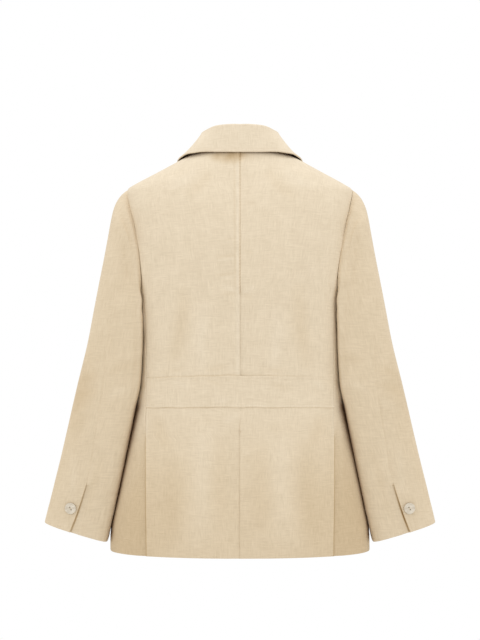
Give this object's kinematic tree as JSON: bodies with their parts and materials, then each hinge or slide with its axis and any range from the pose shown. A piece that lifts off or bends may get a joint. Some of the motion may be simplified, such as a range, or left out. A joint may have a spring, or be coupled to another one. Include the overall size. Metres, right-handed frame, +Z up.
{
  "type": "safari jacket",
  "caption": "Woman's linen safari jacket, hollow and buttoned, with a notched collar, patch pockets with flaps, a banded back with vents and two-piece sleeves.",
  "frame": {"origin": "middle of the neck opening, at the height where the shoulder seams meet the collar; the wearer's shoulders hold the jacket up there", "axes": "+Z up, -Y is the way the wearer faces, +X is the wearer's left"},
  "size_m": [0.6838, 0.253, 0.7421],
  "materials": {
    "linen": "matte slubbed plain weave",
    "shell_button": "satin"
  },
  "bodies": {
    "root": {"back_left": "linen", "back_right": "linen", "back_skirt_left": "linen", "back_skirt_right": "linen", "back_band": "linen", "side_panel_left": "linen", "side_panel_right": "linen", "front_left": "linen", "front_right": "linen", "lapel_left": "linen", "lapel_right": "linen", "collar": "linen", "upper_sleeve_left": "linen", "upper_sleeve_right": "linen", "under_sleeve_left": "linen", "under_sleeve_right": "linen", "hip_pocket_left": "linen", "hip_pocket_right": "linen", "hip_pocket_flap_left": "linen", "hip_pocket_flap_right": "linen", "chest_pocket_left": "linen", "chest_pocket_right": "linen", "chest_pocket_flap_left": "linen", "chest_pocket_flap_right": "linen", "front_button_1": "shell_button", "front_button_2": "shell_button", "front_button_3": "shell_button", "cuff_button_left": "shell_button", "cuff_button_right": "shell_button"}
  },
  "joints": []
}
